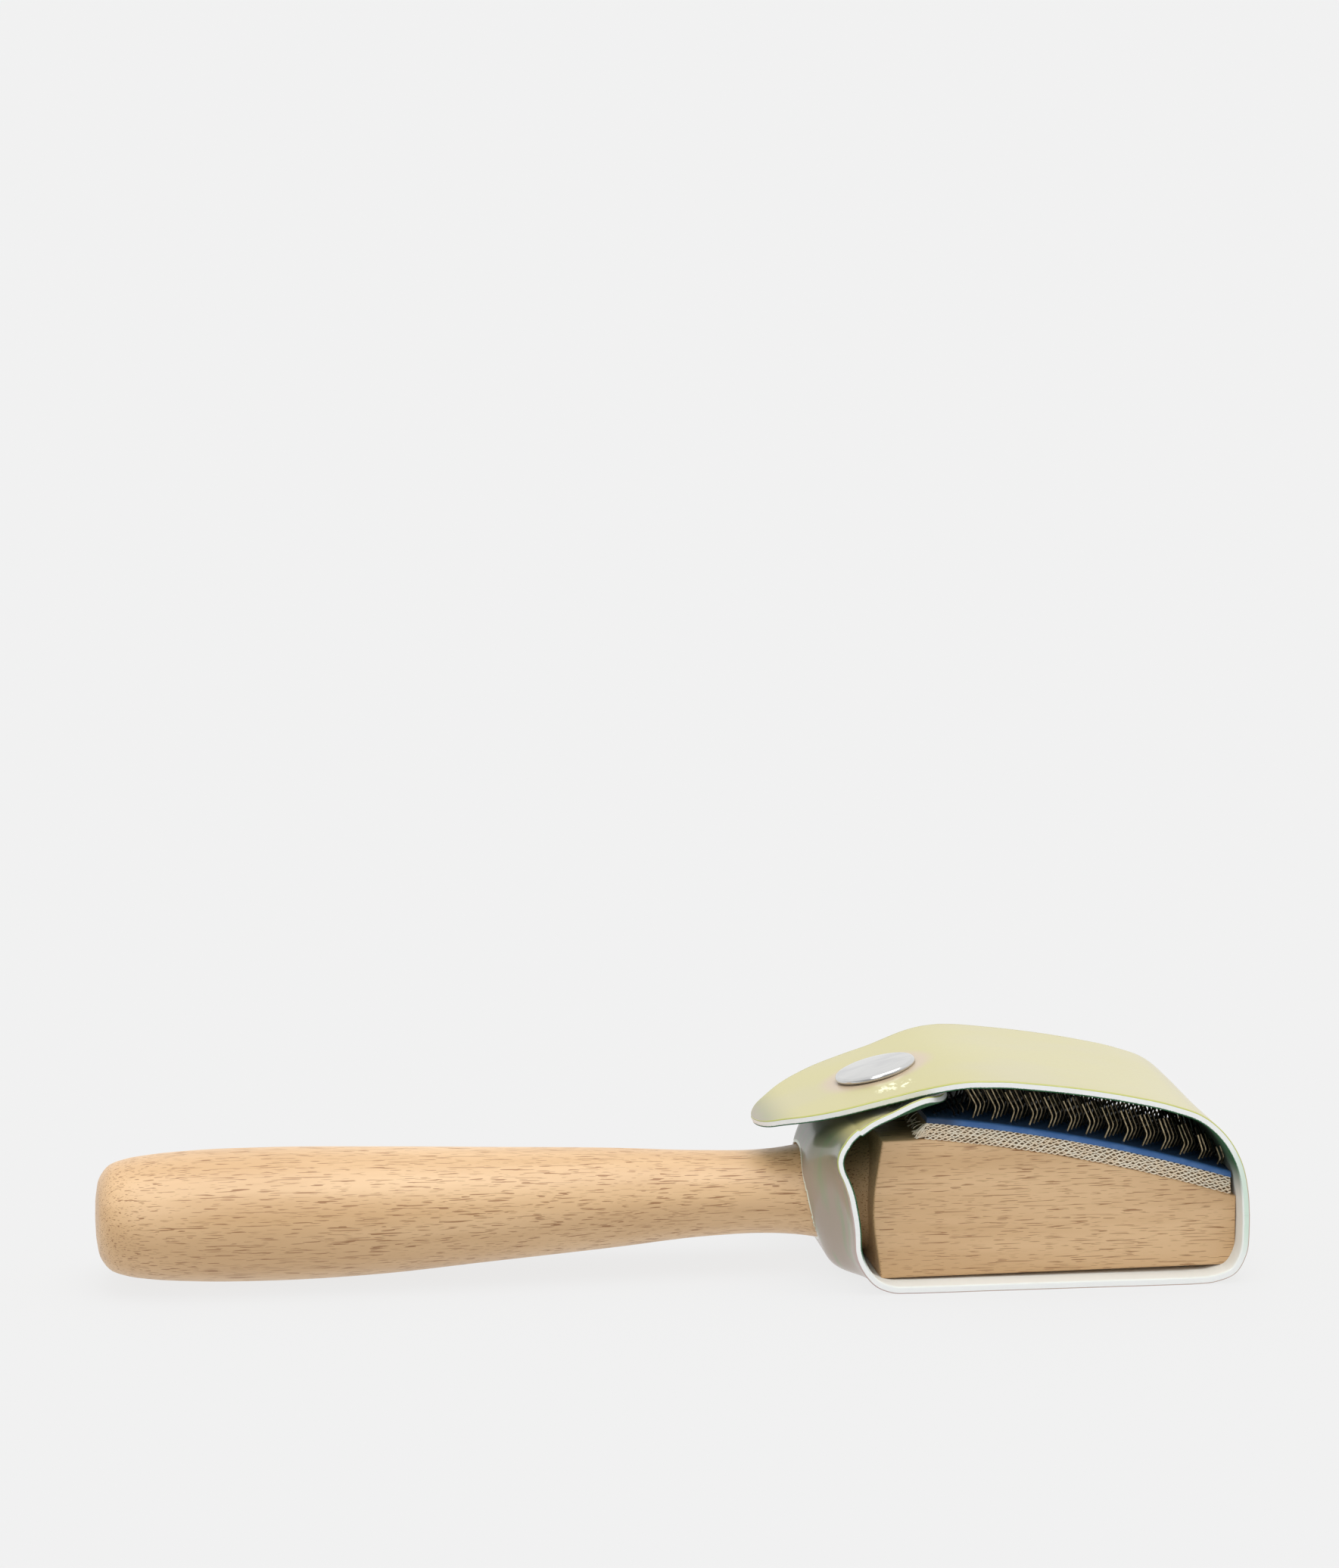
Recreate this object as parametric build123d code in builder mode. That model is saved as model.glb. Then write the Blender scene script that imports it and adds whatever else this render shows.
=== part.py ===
"""One-piece beech hand carding brush with a snap-on wrap-around cover, in millimetres.

+X runs from the handle's butt to the brush head, +Z is up, and the origin is at the middle of
the footprint on the surface that the brush stands on.
"""
import math
import os

from build123d import *

os.makedirs("parts", exist_ok=True)

# ---- overall ---------------------------------------------------------------------------------
butt_x = -85.65            # end of the handle
cover_right_x = 85.65      # outside of the cover's front wall
head_width = 34.0
cover_width = 42.0
sheet_thickness = 1.1      # vinyl film on a felt backing
hinge_slit = 0.04          # half the slit between two lengths of cover at a fold line

# ---- wooden body -----------------------------------------------------------------------------
head_left_x = 30.5
head_right_x = 83.9
head_bulge_x = 29.2        # the head's back face is slightly convex
head_foot_z = 1.4
head_toe_z = 1.9
head_toe_chamfer = 1.8
head_back_z = 22.45        # top of the head behind the clothing
head_edge_round = 0.5
deck_start = (36.9, 22.5)  # the clothing is glued on a convex deck that falls to the front
deck_middle = (60.5, 18.75)
deck_end = (83.9, 12.55)

# handle sections: distance along X, centre height, half height, half width
handle_sections = [
    (butt_x, 10.2, 8.6, 10.6),
    (-80.5, 10.15, 8.9, 11.1),
    (-72.0, 10.1, 9.6, 11.9),
    (-60.0, 10.05, 9.85, 12.0),
    (-44.0, 10.1, 9.45, 11.6),
    (-27.0, 10.5, 8.5, 10.6),
    (-8.0, 10.95, 7.4, 9.3),
    (6.0, 11.2, 6.4, 8.2),
    (15.0, 11.25, 6.25, 8.0),
    (21.0, 11.4, 6.9, 8.5),
    (25.5, 11.6, 8.0, 9.9),
    (31.0, 11.9, 9.6, 13.0),
]
butt_round = 3.2

# ---- card clothing ---------------------------------------------------------------------------
clothing_front_x = 82.6    # where it ends on the deck, short of the head's front
ply_count = 4
canvas_thickness = 2.5
rubber_thickness = 0.85
clothing_inset = 0.15      # the clothing stops this far short of the head's sides
wire_diameter = 0.33
tooth_row_count = 16
first_row_x = 38.2
last_foot_x = 82.1         # the front wall keeps the last row's feet behind this
row_pitch = 2.833
staples_per_row = 10
tooth_pitch = 1.6          # between neighbouring teeth across the head
twill_steps = 3            # neighbouring teeth step forward, and repeat after this many
lower_leg = 2.15
upper_leg = 3.3
lower_lean = 10.0          # degrees forward of the deck's normal
upper_lean = 35.0          # degrees back from the deck's normal, above the knee

# ---- cover: fold lines on its outside face, each with the sheet's direction clockwise round the head
front_fold, front_fold_way = (83.65, 1.5), (-0.82, -0.57)   # between bottom and front wall
flap_fold, flap_fold_way = (83.15, 20.6), (0.5, -0.87)      # between front wall and outer flap
back_fold, back_fold_way = (24.7, 23.3), (0.72, 0.69)       # between back wall and inner flap
toe_end, heel_start = (77.2, 0.0), (32.0, 0.0)              # ends of the flat bottom
tab_tip = (13.25, 22.8)
tab_shoulder_x = 45.5                                       # the outer flap narrows behind this
inner_tip = (41.7, 28.95)
inner_shoulder_x = 34.75
neck_hole_z = 11.9
neck_hole_half_width = 9.6
neck_hole_half_height = 9.6

# ---- press stud, measured down its own axis from the outside of the outer flap ----------------
snap_x = 32.35
snap_film_z = 29.3
snap_tilt = 15.0           # degrees, the flap rises to the front
snap_gap = 1.7             # space between the two flaps at the stud
cap_radius = 6.25
cap_rim = 0.6
cap_dome = 0.5
snap_seat = 0.16           # the flat parts sit this far off the gently curved flaps
post_radius = 1.5
socket_radius = 5.0
socket_cavity_radius = 3.05
socket_height = 0.9
socket_plate = 0.25
spring_wire = 0.36
stud_flange_radius = 4.0
stud_flange = 0.25
stud_radius = 1.75
stud_height = 0.75
eyelet_radius = 3.6
eyelet_flange = 0.45

side_plane = Plane.XZ      # +X to the right, +Z up; it faces the near side


# ---- geometry helpers ------------------------------------------------------------------------
def arc_centre(start, middle, end):
    """Centre and radius of the circle through three points."""
    (ax, ay), (bx, by), (cx, cy) = start, middle, end
    d = 2 * (ax * (by - cy) + bx * (cy - ay) + cx * (ay - by))
    a2, b2, c2 = ax**2 + ay**2, bx**2 + by**2, cx**2 + cy**2
    ux = (a2 * (by - cy) + b2 * (cy - ay) + c2 * (ay - by)) / d
    uy = (a2 * (cx - bx) + b2 * (ax - cx) + c2 * (bx - ax)) / d
    return (ux, uy), math.dist((ux, uy), start)


deck_centre, deck_radius = arc_centre(deck_start, deck_middle, deck_end)


def deck_angle(x, radius):
    """Angle in degrees of the deck's normal where a circle of this radius passes x."""
    return math.degrees(math.acos((x - deck_centre[0]) / radius))


def deck_point(angle, radius):
    """Point at an angle and radius around the deck's centre."""
    turn = math.radians(angle)
    return deck_centre[0] + radius * math.cos(turn), deck_centre[1] + radius * math.sin(turn)


deck_back_angle = deck_angle(deck_start[0], deck_radius)
deck_front_angle = deck_angle(clothing_front_x, deck_radius)


def deck_layer(bottom, thickness, width):
    """A layer that follows the deck, from a height above it."""
    low, high = deck_radius + bottom, deck_radius + bottom + thickness
    sweep_angle = deck_front_angle - deck_back_angle
    with BuildPart() as layer:
        with BuildSketch(side_plane):
            with BuildLine():
                CenterArc(deck_centre, low, deck_back_angle, sweep_angle)
                Line(deck_point(deck_front_angle, low), deck_point(deck_front_angle, high))
                CenterArc(deck_centre, high, deck_back_angle, sweep_angle)
                Line(deck_point(deck_back_angle, high), deck_point(deck_back_angle, low))
            make_face()
        extrude(amount=width / 2, both=True)
    return layer


def save(builder, name):
    """Label a finished piece and write its STEP file."""
    builder.part.label = name
    export_step(builder.part, f"parts/{name}.step")


# ---- wooden body -----------------------------------------------------------------------------
with BuildPart() as wooden_body:
    with BuildSketch(side_plane):
        with BuildLine():
            Line((head_left_x, head_back_z), deck_start)
            ThreePointArc(deck_start, deck_middle, deck_end)
            Line(deck_end, (head_right_x, head_toe_z + head_toe_chamfer))
            Line((head_right_x, head_toe_z + head_toe_chamfer), (head_right_x - head_toe_chamfer, head_toe_z))
            Line((head_right_x - head_toe_chamfer, head_toe_z), (head_left_x, head_foot_z))
            ThreePointArc((head_left_x, head_foot_z), (head_bulge_x, deck_start[1] / 2), (head_left_x, head_back_z))
        make_face()
    extrude(amount=head_width / 2, both=True)
    fillet(wooden_body.edges().filter_by(GeomType.LINE).filter_by(Axis.Y).group_by(Axis.X)[0], head_edge_round)
    with BuildPart(mode=Mode.PRIVATE) as handle:
        for x, centre_z, half_height, half_width in handle_sections:
            with BuildSketch(Plane.YZ.offset(x)):
                with Locations((0, centre_z)):
                    Ellipse(half_width, half_height)
        loft()
        fillet(handle.faces().sort_by(Axis.X)[0].edges(), butt_round)
    add(handle.part)
save(wooden_body, "wooden_body")

# ---- card clothing: canvas plies, rubber facing and wire teeth --------------------------------
clothing_width = head_width - 2 * clothing_inset
ply_thickness = canvas_thickness / ply_count
for ply in range(ply_count):
    save(deck_layer(ply * ply_thickness, ply_thickness, clothing_width), f"canvas_ply_{ply + 1}")

rubber_facing = deck_layer(canvas_thickness, rubber_thickness, clothing_width)
save(rubber_facing, "rubber_facing")

# the rows at the cover's folds are pressed lower, by this share of their full height
pressed_rows = {0: 0.13, 1: 0.34, 13: 0.96, 14: 0.8, 15: 0.6}
facing_radius = deck_radius + canvas_thickness + rubber_thickness
crown_radius = deck_radius + wire_diameter / 2
twill_shift = row_pitch / twill_steps


def tooth_line(foot_x, y, height_share):
    """Points of one bent tooth, from the canvas's back face to its tip."""
    angle = deck_angle(foot_x, facing_radius)
    foot_low, foot = deck_point(angle, crown_radius), deck_point(angle, facing_radius)
    lower, upper = math.radians(angle - lower_lean), math.radians(angle + upper_lean)
    knee = (
        foot[0] + height_share * lower_leg * math.cos(lower),
        foot[1] + height_share * lower_leg * math.sin(lower),
    )
    tip = (
        knee[0] + height_share * upper_leg * math.cos(upper),
        knee[1] + height_share * upper_leg * math.sin(upper),
    )
    return [(x, y, z) for x, z in (foot_low, foot, knee, tip)]


for row in range(tooth_row_count):
    height_share = pressed_rows.get(row, 1.0)
    with BuildPart() as tooth_row:
        for staple in range(staples_per_row):
            legs = []
            for step in (2 * staple, 2 * staple + 1):
                foot_x = min(first_row_x + row * row_pitch + (step % twill_steps) * twill_shift, last_foot_x)
                y = (step - staples_per_row + 0.5) * tooth_pitch
                legs.append(tooth_line(foot_x, y, height_share))
            near_leg, far_leg = legs
            with BuildLine() as wire:
                Polyline(near_leg[::-1] + far_leg)
            with BuildSketch(Plane(wire.line @ 0, z_dir=wire.line % 0)):
                Circle(wire_diameter / 2)
            sweep(path=wire.line, transition=Transition.RIGHT)
    save(tooth_row, f"tooth_row_{row + 1:02d}")


# ---- cover -----------------------------------------------------------------------------------
def beside(point, way, distance):
    """The point a distance along a direction, which leaves half of a fold line's slit."""
    length = math.hypot(*way)
    return point[0] + way[0] / length * distance, point[1] + way[1] / length * distance


def sheet_along(outline):
    """A full-width length of sheet whose outside face follows an outline drawn clockwise."""
    with BuildPart() as length:
        with BuildSketch(Plane(origin=outline @ 0, x_dir=(0, 1, 0), z_dir=outline % 0)):
            Rectangle(cover_width, sheet_thickness, align=(Align.CENTER, Align.MAX))
        sweep(path=outline)
    return length


# the bottom and the back wall are one length of sheet, and the brush's neck passes through it
with BuildLine(side_plane) as base_outline:
    Spline(
        [beside(front_fold, front_fold_way, hinge_slit), toe_end],
        tangents=[front_fold_way, (-1, 0)],
    )
    Line(toe_end, heel_start)
    Spline(
        [heel_start, (26.0, 3.2), (23.4, 9.5), (22.4, 17.5), beside(back_fold, back_fold_way, -hinge_slit)],
        tangents=[(-1, 0), back_fold_way],
    )

with BuildPart() as cover_base:
    add(sheet_along(base_outline.line).part)
    with BuildSketch(Plane.YZ.offset(head_left_x)):
        with Locations((0, neck_hole_z)):
            Ellipse(neck_hole_half_width, neck_hole_half_height)
    extrude(amount=tab_tip[0] - head_left_x, mode=Mode.SUBTRACT)
save(cover_base, "cover_base")

with BuildLine(side_plane) as front_outline:
    Spline(
        [
            beside(flap_fold, flap_fold_way, hinge_slit),
            (85.4, 13.8),
            (cover_right_x, 8.4),
            beside(front_fold, front_fold_way, -hinge_slit),
        ],
        tangents=[flap_fold_way, front_fold_way],
    )
front_wall = sheet_along(front_outline.line)
save(front_wall, "front_wall")

snap_plane = Plane(
    origin=(snap_x, 0, snap_film_z),
    x_dir=(math.cos(math.radians(snap_tilt)), 0, math.sin(math.radians(snap_tilt))),
    z_dir=(-math.sin(math.radians(snap_tilt)), 0, math.cos(math.radians(snap_tilt))),
)


def flap(outline, plan):
    """A flap of sheet: an outline seen from the side, a plan seen from above, and a stud hole."""
    with BuildPart() as leaf:
        add(sheet_along(outline).part)
        with BuildSketch():
            add(plan)
            make_face()
        extrude(amount=cover_width, mode=Mode.INTERSECT)
        with Locations(snap_plane):
            Cylinder(post_radius, cover_width / 2, mode=Mode.SUBTRACT)
    return leaf


with BuildLine(side_plane) as outer_outline:
    Spline(
        [
            tab_tip,
            (22.75, 26.45),
            (snap_x, snap_film_z),
            (43.5, 31.95),
            (60.85, 30.3),
            (74.05, 27.4),
            (79.6, 24.8),
            beside(flap_fold, flap_fold_way, -hinge_slit),
        ],
        tangents=[(1, 0.5), flap_fold_way],
    )
with BuildLine() as outer_plan:
    Line((cover_right_x, 0), (cover_right_x, cover_width / 2))
    outer_side = Line((cover_right_x, cover_width / 2), (tab_shoulder_x, cover_width / 2))
    Spline(
        [outer_side @ 1, (34.5, 17.6), (24.75, 15.3), (16.75, 8.6), (tab_tip[0], 0)],
        tangents=[outer_side % 1, (0, -1)],
    )
    mirror(about=Plane.XZ)
outer_flap = flap(outer_outline.line, outer_plan.line)
save(outer_flap, "outer_flap")

with BuildLine(side_plane) as inner_outline:
    Spline(
        [
            beside(back_fold, back_fold_way, hinge_slit),
            (28.0, 25.25),
            (snap_x, snap_film_z - (sheet_thickness + snap_gap) / math.cos(math.radians(snap_tilt))),
            (38.0, 27.9),
            inner_tip,
        ],
        tangents=[back_fold_way, (1, 0.25)],
    )
with BuildLine() as inner_plan:
    Line((head_bulge_x - cover_width / 2, 0), (head_bulge_x - cover_width / 2, cover_width / 2))
    inner_side = Line(
        (head_bulge_x - cover_width / 2, cover_width / 2), (inner_shoulder_x, cover_width / 2)
    )
    Spline([inner_side @ 1, (39.8, 15.5), (inner_tip[0], 0)], tangents=[inner_side % 1, (0, -1)])
    mirror(about=Plane.XZ)
inner_flap = flap(inner_outline.line, inner_plan.line)
save(inner_flap, "inner_flap")

# ---- press stud ------------------------------------------------------------------------------
socket_top = -sheet_thickness - snap_seat
inner_face = -sheet_thickness - snap_gap
stud_seat = inner_face + snap_seat
eyelet_seat = inner_face - sheet_thickness - snap_seat


def disc(radius, low, high, bore=0.0):
    """A disc or ring between two heights on the stud's axis."""
    with BuildSketch(snap_plane.offset(low)) as face:
        Circle(radius)
        if bore:
            Circle(bore, mode=Mode.SUBTRACT)
    extrude(face.sketch, amount=high - low)


with BuildPart() as snap_cap:
    disc(post_radius, socket_top - socket_plate, snap_seat)
    disc(cap_radius, snap_seat, snap_seat + cap_rim)
    rim_edges = snap_cap.edges().filter_by(GeomType.CIRCLE).sort_by(SortBy.RADIUS)[-2:]
    fillet(rim_edges, cap_rim * 0.4)
    with BuildSketch(Plane(snap_plane.location * Location((0, 0, snap_seat + cap_rim), (90, 0, 0)))):
        dome_foot = cap_radius - cap_rim * 0.4
        with BuildLine():
            ThreePointArc((-dome_foot, 0), (0, cap_dome), (dome_foot, 0))
            Line((-dome_foot, 0), (dome_foot, 0))
        make_face()
        split(bisect_by=Plane.YZ)
    revolve(axis=Axis(snap_plane.origin, snap_plane.z_dir))
save(snap_cap, "snap_cap")

with BuildPart() as snap_socket:
    disc(socket_radius, socket_top - socket_plate, socket_top, bore=post_radius)
    disc(socket_radius, socket_top - socket_height, socket_top - socket_plate, bore=socket_cavity_radius)
save(snap_socket, "snap_socket")

with BuildPart() as snap_spring:
    spring_height = socket_top - (socket_height + socket_plate) / 2
    with Locations(snap_plane.offset(spring_height)):
        Torus(socket_cavity_radius - spring_wire / 2, spring_wire / 2)
save(snap_spring, "snap_spring")

with BuildPart() as snap_stud:
    disc(stud_flange_radius, stud_seat, stud_seat + stud_flange, bore=post_radius)
    disc(stud_radius, stud_seat + stud_flange, stud_seat + stud_flange + stud_height)
    stud_top = snap_stud.faces().sort_by(Axis(snap_plane.origin, snap_plane.z_dir))[-1]
    fillet(stud_top.edges(), stud_height / 2)
save(snap_stud, "snap_stud")

with BuildPart() as snap_eyelet:
    disc(eyelet_radius, eyelet_seat - eyelet_flange, eyelet_seat)
    disc(post_radius, eyelet_seat, stud_seat + stud_flange)
save(snap_eyelet, "snap_eyelet")
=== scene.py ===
"""Looks of the hand carding brush: beech body, card clothing, wire teeth, sheet cover and press stud.

Every place is in the part's own frame: +X from the handle's butt to the head, +Y away, +Z up from
the surface that the brush lies on. Sizes below are in millimetres and are turned to metres once,
where a mesh is made.
"""

import logging
import math
from dataclasses import dataclass, field
from enum import Enum
from typing import Any, Callable

import bpy
import numpy as np
from mathutils import Matrix, Vector


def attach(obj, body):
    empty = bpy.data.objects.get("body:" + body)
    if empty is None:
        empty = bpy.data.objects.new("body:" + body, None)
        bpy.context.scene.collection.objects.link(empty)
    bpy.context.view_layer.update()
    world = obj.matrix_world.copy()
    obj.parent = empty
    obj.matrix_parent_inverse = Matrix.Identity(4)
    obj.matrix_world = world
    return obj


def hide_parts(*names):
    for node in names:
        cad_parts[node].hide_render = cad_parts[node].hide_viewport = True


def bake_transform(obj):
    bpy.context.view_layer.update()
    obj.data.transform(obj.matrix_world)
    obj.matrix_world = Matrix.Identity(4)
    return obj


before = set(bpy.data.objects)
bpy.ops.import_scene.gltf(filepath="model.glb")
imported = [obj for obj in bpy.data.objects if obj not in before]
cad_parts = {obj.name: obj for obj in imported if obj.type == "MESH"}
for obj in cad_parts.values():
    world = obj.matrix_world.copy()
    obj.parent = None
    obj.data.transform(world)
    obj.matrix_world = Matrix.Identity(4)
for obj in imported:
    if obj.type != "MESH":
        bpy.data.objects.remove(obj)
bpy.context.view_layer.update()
log = logging.getLogger("carding_brush")

MM = 0.001
Point = tuple[float, float]
Colour = tuple[float, float, float]


# ---- shapes worked out as arrays -------------------------------------------------------------
def smooth_curve(knots: Any, share: np.ndarray) -> np.ndarray:
    """Points on a smooth curve through knots.

    Formula: cubic Hermite spans on chord length. A knot's slope is the mean of the slopes of the
    two spans beside it, the shorter span counting more.

    Args:
        knots: the points that the curve passes, one row each.
        share: where to read the curve, from 0 at its first knot to 1 at its last.

    Returns:
        One row for each share.
    """
    knots = np.asarray(knots, float)
    step = np.diff(knots, axis=0)
    span = np.linalg.norm(step, axis=1)
    at = np.concatenate([[0.0], np.cumsum(span)])
    chord = step / span[:, None]
    slope = np.concatenate([chord[:1], chord[-1:].repeat(len(knots) - 1, axis=0)])
    near = (span[1:] / (span[:-1] + span[1:]))[:, None]
    slope[1:-1] = chord[:-1] * near + chord[1:] * (1 - near)
    where = np.asarray(share) * at[-1]
    k = np.clip(np.searchsorted(at, where, side="right") - 1, 0, len(span) - 1)
    h = span[k][:, None]
    t = ((where - at[k]) / span[k])[:, None]
    return (
        knots[k] * (2 * t**3 - 3 * t**2 + 1)
        + slope[k] * h * (t**3 - 2 * t**2 + t)
        + knots[k + 1] * (3 * t**2 - 2 * t**3)
        + slope[k + 1] * h * (t**3 - t**2)
    )


def smooth_table(knots: list[Point], x: np.ndarray) -> np.ndarray:
    """Heights of the smooth curve through knots, read at x by linear steps between 800 of its points."""
    line = smooth_curve(knots, np.linspace(0, 1, 800))
    return np.interp(x, line[:, 0], line[:, 1])


def grid_quads(rows: int, columns: int, wrap: bool = False) -> np.ndarray:
    """Quads of a grid whose point (r, c) has index r * columns + c; wrap closes each row on itself."""
    r, c = np.meshgrid(np.arange(rows - 1), np.arange(columns if wrap else columns - 1), indexing="ij")
    a, b = r * columns + c, r * columns + (c + 1) % columns
    return np.stack([a, b, b + columns, a + columns], axis=-1).reshape(-1, 4)


def wobble(points: np.ndarray, pitch: float, seed: int) -> np.ndarray:
    """Smooth noise from about -1 to 1: the mean of six sine waves of random direction, pitch mm apart."""
    rng = np.random.default_rng(seed)
    ways = rng.normal(size=(6, 3))
    ways *= (2 * np.pi / pitch) / np.linalg.norm(ways, axis=1)[:, None]
    return np.sin(points @ ways.T + rng.uniform(0, 2 * np.pi, 6)).mean(axis=1) * 1.6


@dataclass
class Surface:
    """A mesh in the making: points in mm, faces, and named values on its points."""

    points: np.ndarray
    quads: np.ndarray
    caps: list[np.ndarray] = field(default_factory=list)
    values: dict[str, np.ndarray] = field(default_factory=dict)

    def join(self, other: "Surface") -> "Surface":
        """Both surfaces as one mesh, with the second's indices moved past the first's."""
        shift = len(self.points)
        return Surface(
            np.concatenate([self.points, other.points]),
            np.concatenate([self.quads, other.quads + shift]),
            self.caps + [cap + shift for cap in other.caps],
            {k: np.concatenate([v, other.values[k]]) for k, v in self.values.items()},
        )

    def build(self, name: str, finish: bpy.types.Material, crease: float = 40.0) -> bpy.types.Object:
        """Makes the object, in metres, at the origin.

        Args:
            name: the object's name.
            finish: its material.
            crease: edges bent by more degrees than this stay crisp.

        Returns:
            The new object, in the scene.
        """
        mesh = bpy.data.meshes.new(name)
        faces = self.quads.tolist() + [cap.tolist() for cap in self.caps]
        mesh.from_pydata((self.points * MM).tolist(), [], faces)
        for key, value in self.values.items():
            mesh.attributes.new(key, "FLOAT", "POINT").data.foreach_set("value", value.astype(np.float32))
        mesh.materials.append(finish)
        mesh.polygons.foreach_set("use_smooth", np.arange(len(faces)) < len(self.quads))
        mesh.set_sharp_from_angle(angle=math.radians(crease))
        mesh.validate()
        piece = bpy.data.objects.new(name, mesh)
        bpy.context.scene.collection.objects.link(piece)
        return piece


def tube(path: np.ndarray, radius: Any, sides: int) -> Surface:
    """A round bar along a path.

    Formula: each point carries a circle across the path's direction there, which is the difference
    of the points beside it. The circle's first axis is that direction crossed with +Y, or with +Z
    where the path runs along +Y.

    Args:
        path: points of the centreline, in mm.
        radius: one radius, or one for each point.
        sides: points round the bar.

    Returns:
        The closed bar.
    """
    way = np.gradient(path, axis=0)
    way /= np.linalg.norm(way, axis=1)[:, None]
    aside = np.where(np.abs(way[:, 1:2]) > 0.9, [[0.0, 0.0, 1.0]], [[0.0, 1.0, 0.0]])
    first = np.cross(way, aside)
    first /= np.linalg.norm(first, axis=1)[:, None]
    second = np.cross(way, first)
    turn = np.arange(sides) * 2 * np.pi / sides
    wide = np.broadcast_to(np.asarray(radius, float), len(path))[:, None, None]
    ring = first[:, None] * np.cos(turn)[:, None] + second[:, None] * np.sin(turn)[:, None]
    points = (path[:, None] + wide * ring).reshape(-1, 3)
    last = (len(path) - 1) * sides
    caps = [np.arange(sides)[::-1], np.arange(last, last + sides)]
    return Surface(points, grid_quads(len(path), sides, wrap=True), caps)


def tubes(paths: np.ndarray, radius: Any, sides: int) -> Surface:
    """Many bars of equal point count, one for each entry of paths, as one mesh of whole arrays."""
    one = tube(paths[0], radius, sides)
    size = len(one.points)
    points = np.concatenate([tube(path, radius, sides).points for path in paths])
    shifts = np.arange(len(paths)) * size
    quads = (one.quads[None] + shifts[:, None, None]).reshape(-1, 4)
    caps = [cap + shift for shift in shifts for cap in one.caps]
    return Surface(points, quads, caps)


def turned(profile: np.ndarray, sides: int) -> Surface:
    """A body of revolution about Z: each (radius, height) of the profile is swung round in a circle."""
    turn = np.arange(sides) * 2 * np.pi / sides
    ring = np.stack([np.cos(turn), np.sin(turn), np.zeros(sides)], axis=1)
    points = profile[:, None, 0:1] * ring + profile[:, None, 1:2] * np.array([0.0, 0.0, 1.0])
    last = (len(profile) - 1) * sides
    caps = [np.arange(sides)[::-1], np.arange(last, last + sides)]
    return Surface(points.reshape(-1, 3), grid_quads(len(profile), sides, wrap=True), caps)


# ---- shader maths ----------------------------------------------------------------------------
class Signal:
    """An output socket, with operators that add Math nodes to its tree."""

    def __init__(self, graph: "Graph", socket: bpy.types.NodeSocket) -> None:
        """Keeps the socket and the graph that it is in."""
        self.graph = graph
        self.socket = socket

    def math(self, operation: str, *others: Any) -> "Signal":
        """This value and others put through one Math node."""
        return self.graph.node("ShaderNodeMath", {"operation": operation}, dict(enumerate((self, *others))))

    def _swapped(self, operation: str, other: float) -> "Signal":
        """One Math node with the other value first."""
        return self.graph.node("ShaderNodeMath", {"operation": operation}, {0: other, 1: self})

    def __add__(self, other: Any) -> "Signal":
        """Sum."""
        return self.math("ADD", other)

    def __radd__(self, other: float) -> "Signal":
        """Sum, with a number first."""
        return self.math("ADD", other)

    def __sub__(self, other: Any) -> "Signal":
        """Difference."""
        return self.math("SUBTRACT", other)

    def __rsub__(self, other: float) -> "Signal":
        """Difference, with a number first."""
        return self._swapped("SUBTRACT", other)

    def __mul__(self, other: Any) -> "Signal":
        """Product."""
        return self.math("MULTIPLY", other)

    def __rmul__(self, other: float) -> "Signal":
        """Product, with a number first."""
        return self.math("MULTIPLY", other)

    def band(self, low: float, high: float) -> "Signal":
        """0 below low, 1 above high, and a smooth step between; low above high turns it round."""
        return self.graph.node(
            "ShaderNodeMapRange",
            {"interpolation_type": "SMOOTHSTEP"},
            {0: self, 1: low, 2: high, 3: 0.0, 4: 1.0},
        )


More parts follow.
